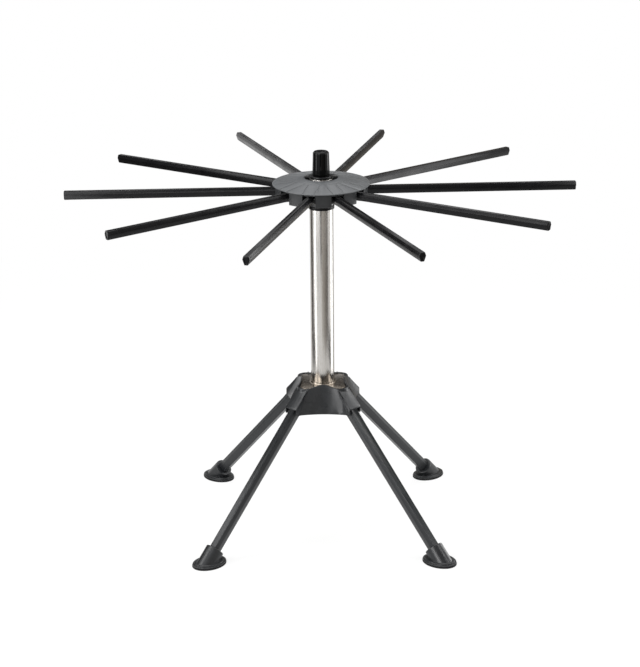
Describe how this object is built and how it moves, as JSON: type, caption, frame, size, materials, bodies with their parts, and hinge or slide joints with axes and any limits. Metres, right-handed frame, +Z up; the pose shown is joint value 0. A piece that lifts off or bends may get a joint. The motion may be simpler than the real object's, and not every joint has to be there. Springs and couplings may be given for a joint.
{
  "type": "pasta drying rack",
  "caption": "Folding pasta drying rack: a wheel of hinged arms on a steel tube, a lift-out stick in the tube, and four splayed folding legs with oval feet.",
  "frame": {"origin": "on the floor under the axis of the tube, the centre of the bottom of the bounding box", "axes": "+Z up along the tube, -Y towards the viewer of the picture, +X to the viewer's right"},
  "size_m": [0.4298, 0.4158, 0.3313],
  "materials": {
    "arm_plastic": "satin moulded",
    "hub_plastic": "satin moulded",
    "leg_plastic": "satin moulded",
    "foot_plastic": "satin moulded",
    "stick_plastic": "gloss moulded",
    "ring_plastic": "satin moulded",
    "tube_steel": "brushed along the tube",
    "small_steel": "turned",
    "pad_rubber": "matt"
  },
  "bodies": {
    "stand": {"base_body": "leg_plastic", "base_dish": "tube_steel", "centre_tube": "tube_steel", "tube_plug": "leg_plastic", "base_screw": "small_steel", "base_washer": "small_steel", "stop_ring": "hub_plastic", "lock_ring": "ring_plastic", "leg_pins": "small_steel"},
    "wheel": {"hub_drum": "hub_plastic", "hub_cover": "hub_plastic", "arm_pins": "small_steel", "cover_screws": "small_steel"},
    "stick": {"lifting_stick": "stick_plastic"},
    "arm_01": {"arm_01": "arm_plastic"},
    "arm_02": {"arm_02": "arm_plastic"},
    "arm_03": {"arm_03": "arm_plastic"},
    "arm_04": {"arm_04": "arm_plastic"},
    "arm_05": {"arm_05": "arm_plastic"},
    "arm_06": {"arm_06": "arm_plastic"},
    "arm_07": {"arm_07": "arm_plastic"},
    "arm_08": {"arm_08": "arm_plastic"},
    "arm_09": {"arm_09": "arm_plastic"},
    "arm_10": {"arm_10": "arm_plastic"},
    "leg_back_right": {"leg_back_right": "leg_plastic", "foot_back_right": "foot_plastic", "pad_back_right": "pad_rubber"},
    "leg_back_left": {"leg_back_left": "leg_plastic", "foot_back_left": "foot_plastic", "pad_back_left": "pad_rubber"},
    "leg_front_left": {"leg_front_left": "leg_plastic", "foot_front_left": "foot_plastic", "pad_front_left": "pad_rubber"},
    "leg_front_right": {"leg_front_right": "leg_plastic", "foot_front_right": "foot_plastic", "pad_front_right": "pad_rubber"}
  },
  "joints": [
    {"name": "wheel_turn", "type": "hinge", "parent": "stand", "child": "wheel", "pos_m": [0, 0, 0.2977], "axis": [0, 0, 1], "continuous": true},
    {"name": "stick_pull", "type": "slide", "parent": "stand", "child": "stick", "axis": [0, 0, 1], "range_m": [0, 0.18]},
    {"name": "arm_01_fold", "type": "hinge", "parent": "wheel", "child": "arm_01", "pos_m": [0.03197, 0.00145, 0.2977], "axis": [-0.0454, 0.999, 0], "range_deg": [0, 84]},
    {"name": "arm_02_fold", "type": "hinge", "parent": "wheel", "child": "arm_02", "pos_m": [0.02501, 0.01996, 0.2977], "axis": [-0.6239, 0.7815, 0], "range_deg": [0, 84]},
    {"name": "arm_03_fold", "type": "hinge", "parent": "wheel", "child": "arm_03", "pos_m": [0.0085, 0.03085, 0.2977], "axis": [-0.9641, 0.2656, 0], "range_deg": [0, 84]},
    {"name": "arm_04_fold", "type": "hinge", "parent": "wheel", "child": "arm_04", "pos_m": [-0.01126, 0.02995, 0.2977], "axis": [-0.9361, -0.3518, 0], "range_deg": [0, 84]},
    {"name": "arm_05_fold", "type": "hinge", "parent": "wheel", "child": "arm_05", "pos_m": [-0.02671, 0.01761, 0.2977], "axis": [-0.5505, -0.8348, 0], "range_deg": [0, 84]},
    {"name": "arm_06_fold", "type": "hinge", "parent": "wheel", "child": "arm_06", "pos_m": [-0.03197, -0.00145, 0.2977], "axis": [0.0454, -0.999, 0], "range_deg": [0, 84]},
    {"name": "arm_07_fold", "type": "hinge", "parent": "wheel", "child": "arm_07", "pos_m": [-0.02501, -0.01996, 0.2977], "axis": [0.6239, -0.7815, 0], "range_deg": [0, 84]},
    {"name": "arm_08_fold", "type": "hinge", "parent": "wheel", "child": "arm_08", "pos_m": [-0.0085, -0.03085, 0.2977], "axis": [0.9641, -0.2656, 0], "range_deg": [0, 84]},
    {"name": "arm_09_fold", "type": "hinge", "parent": "wheel", "child": "arm_09", "pos_m": [0.01126, -0.02995, 0.2977], "axis": [0.9361, 0.3518, 0], "range_deg": [0, 84]},
    {"name": "arm_10_fold", "type": "hinge", "parent": "wheel", "child": "arm_10", "pos_m": [0.02671, -0.01761, 0.2977], "axis": [0.5505, 0.8348, 0], "range_deg": [0, 84]},
    {"name": "leg_back_right_fold", "type": "hinge", "parent": "stand", "child": "leg_back_right", "pos_m": [0.01909, 0.01909, 0.1154], "axis": [-0.7071, 0.7071, 0], "range_deg": [0, 44.6]},
    {"name": "leg_back_left_fold", "type": "hinge", "parent": "stand", "child": "leg_back_left", "pos_m": [-0.01909, 0.01909, 0.1154], "axis": [-0.7071, -0.7071, 0], "range_deg": [0, 44.6]},
    {"name": "leg_front_left_fold", "type": "hinge", "parent": "stand", "child": "leg_front_left", "pos_m": [-0.01909, -0.01909, 0.1154], "axis": [0.7071, -0.7071, 0], "range_deg": [0, 44.6]},
    {"name": "leg_front_right_fold", "type": "hinge", "parent": "stand", "child": "leg_front_right", "pos_m": [0.01909, -0.01909, 0.1154], "axis": [0.7071, 0.7071, 0], "range_deg": [0, 44.6]}
  ]
}
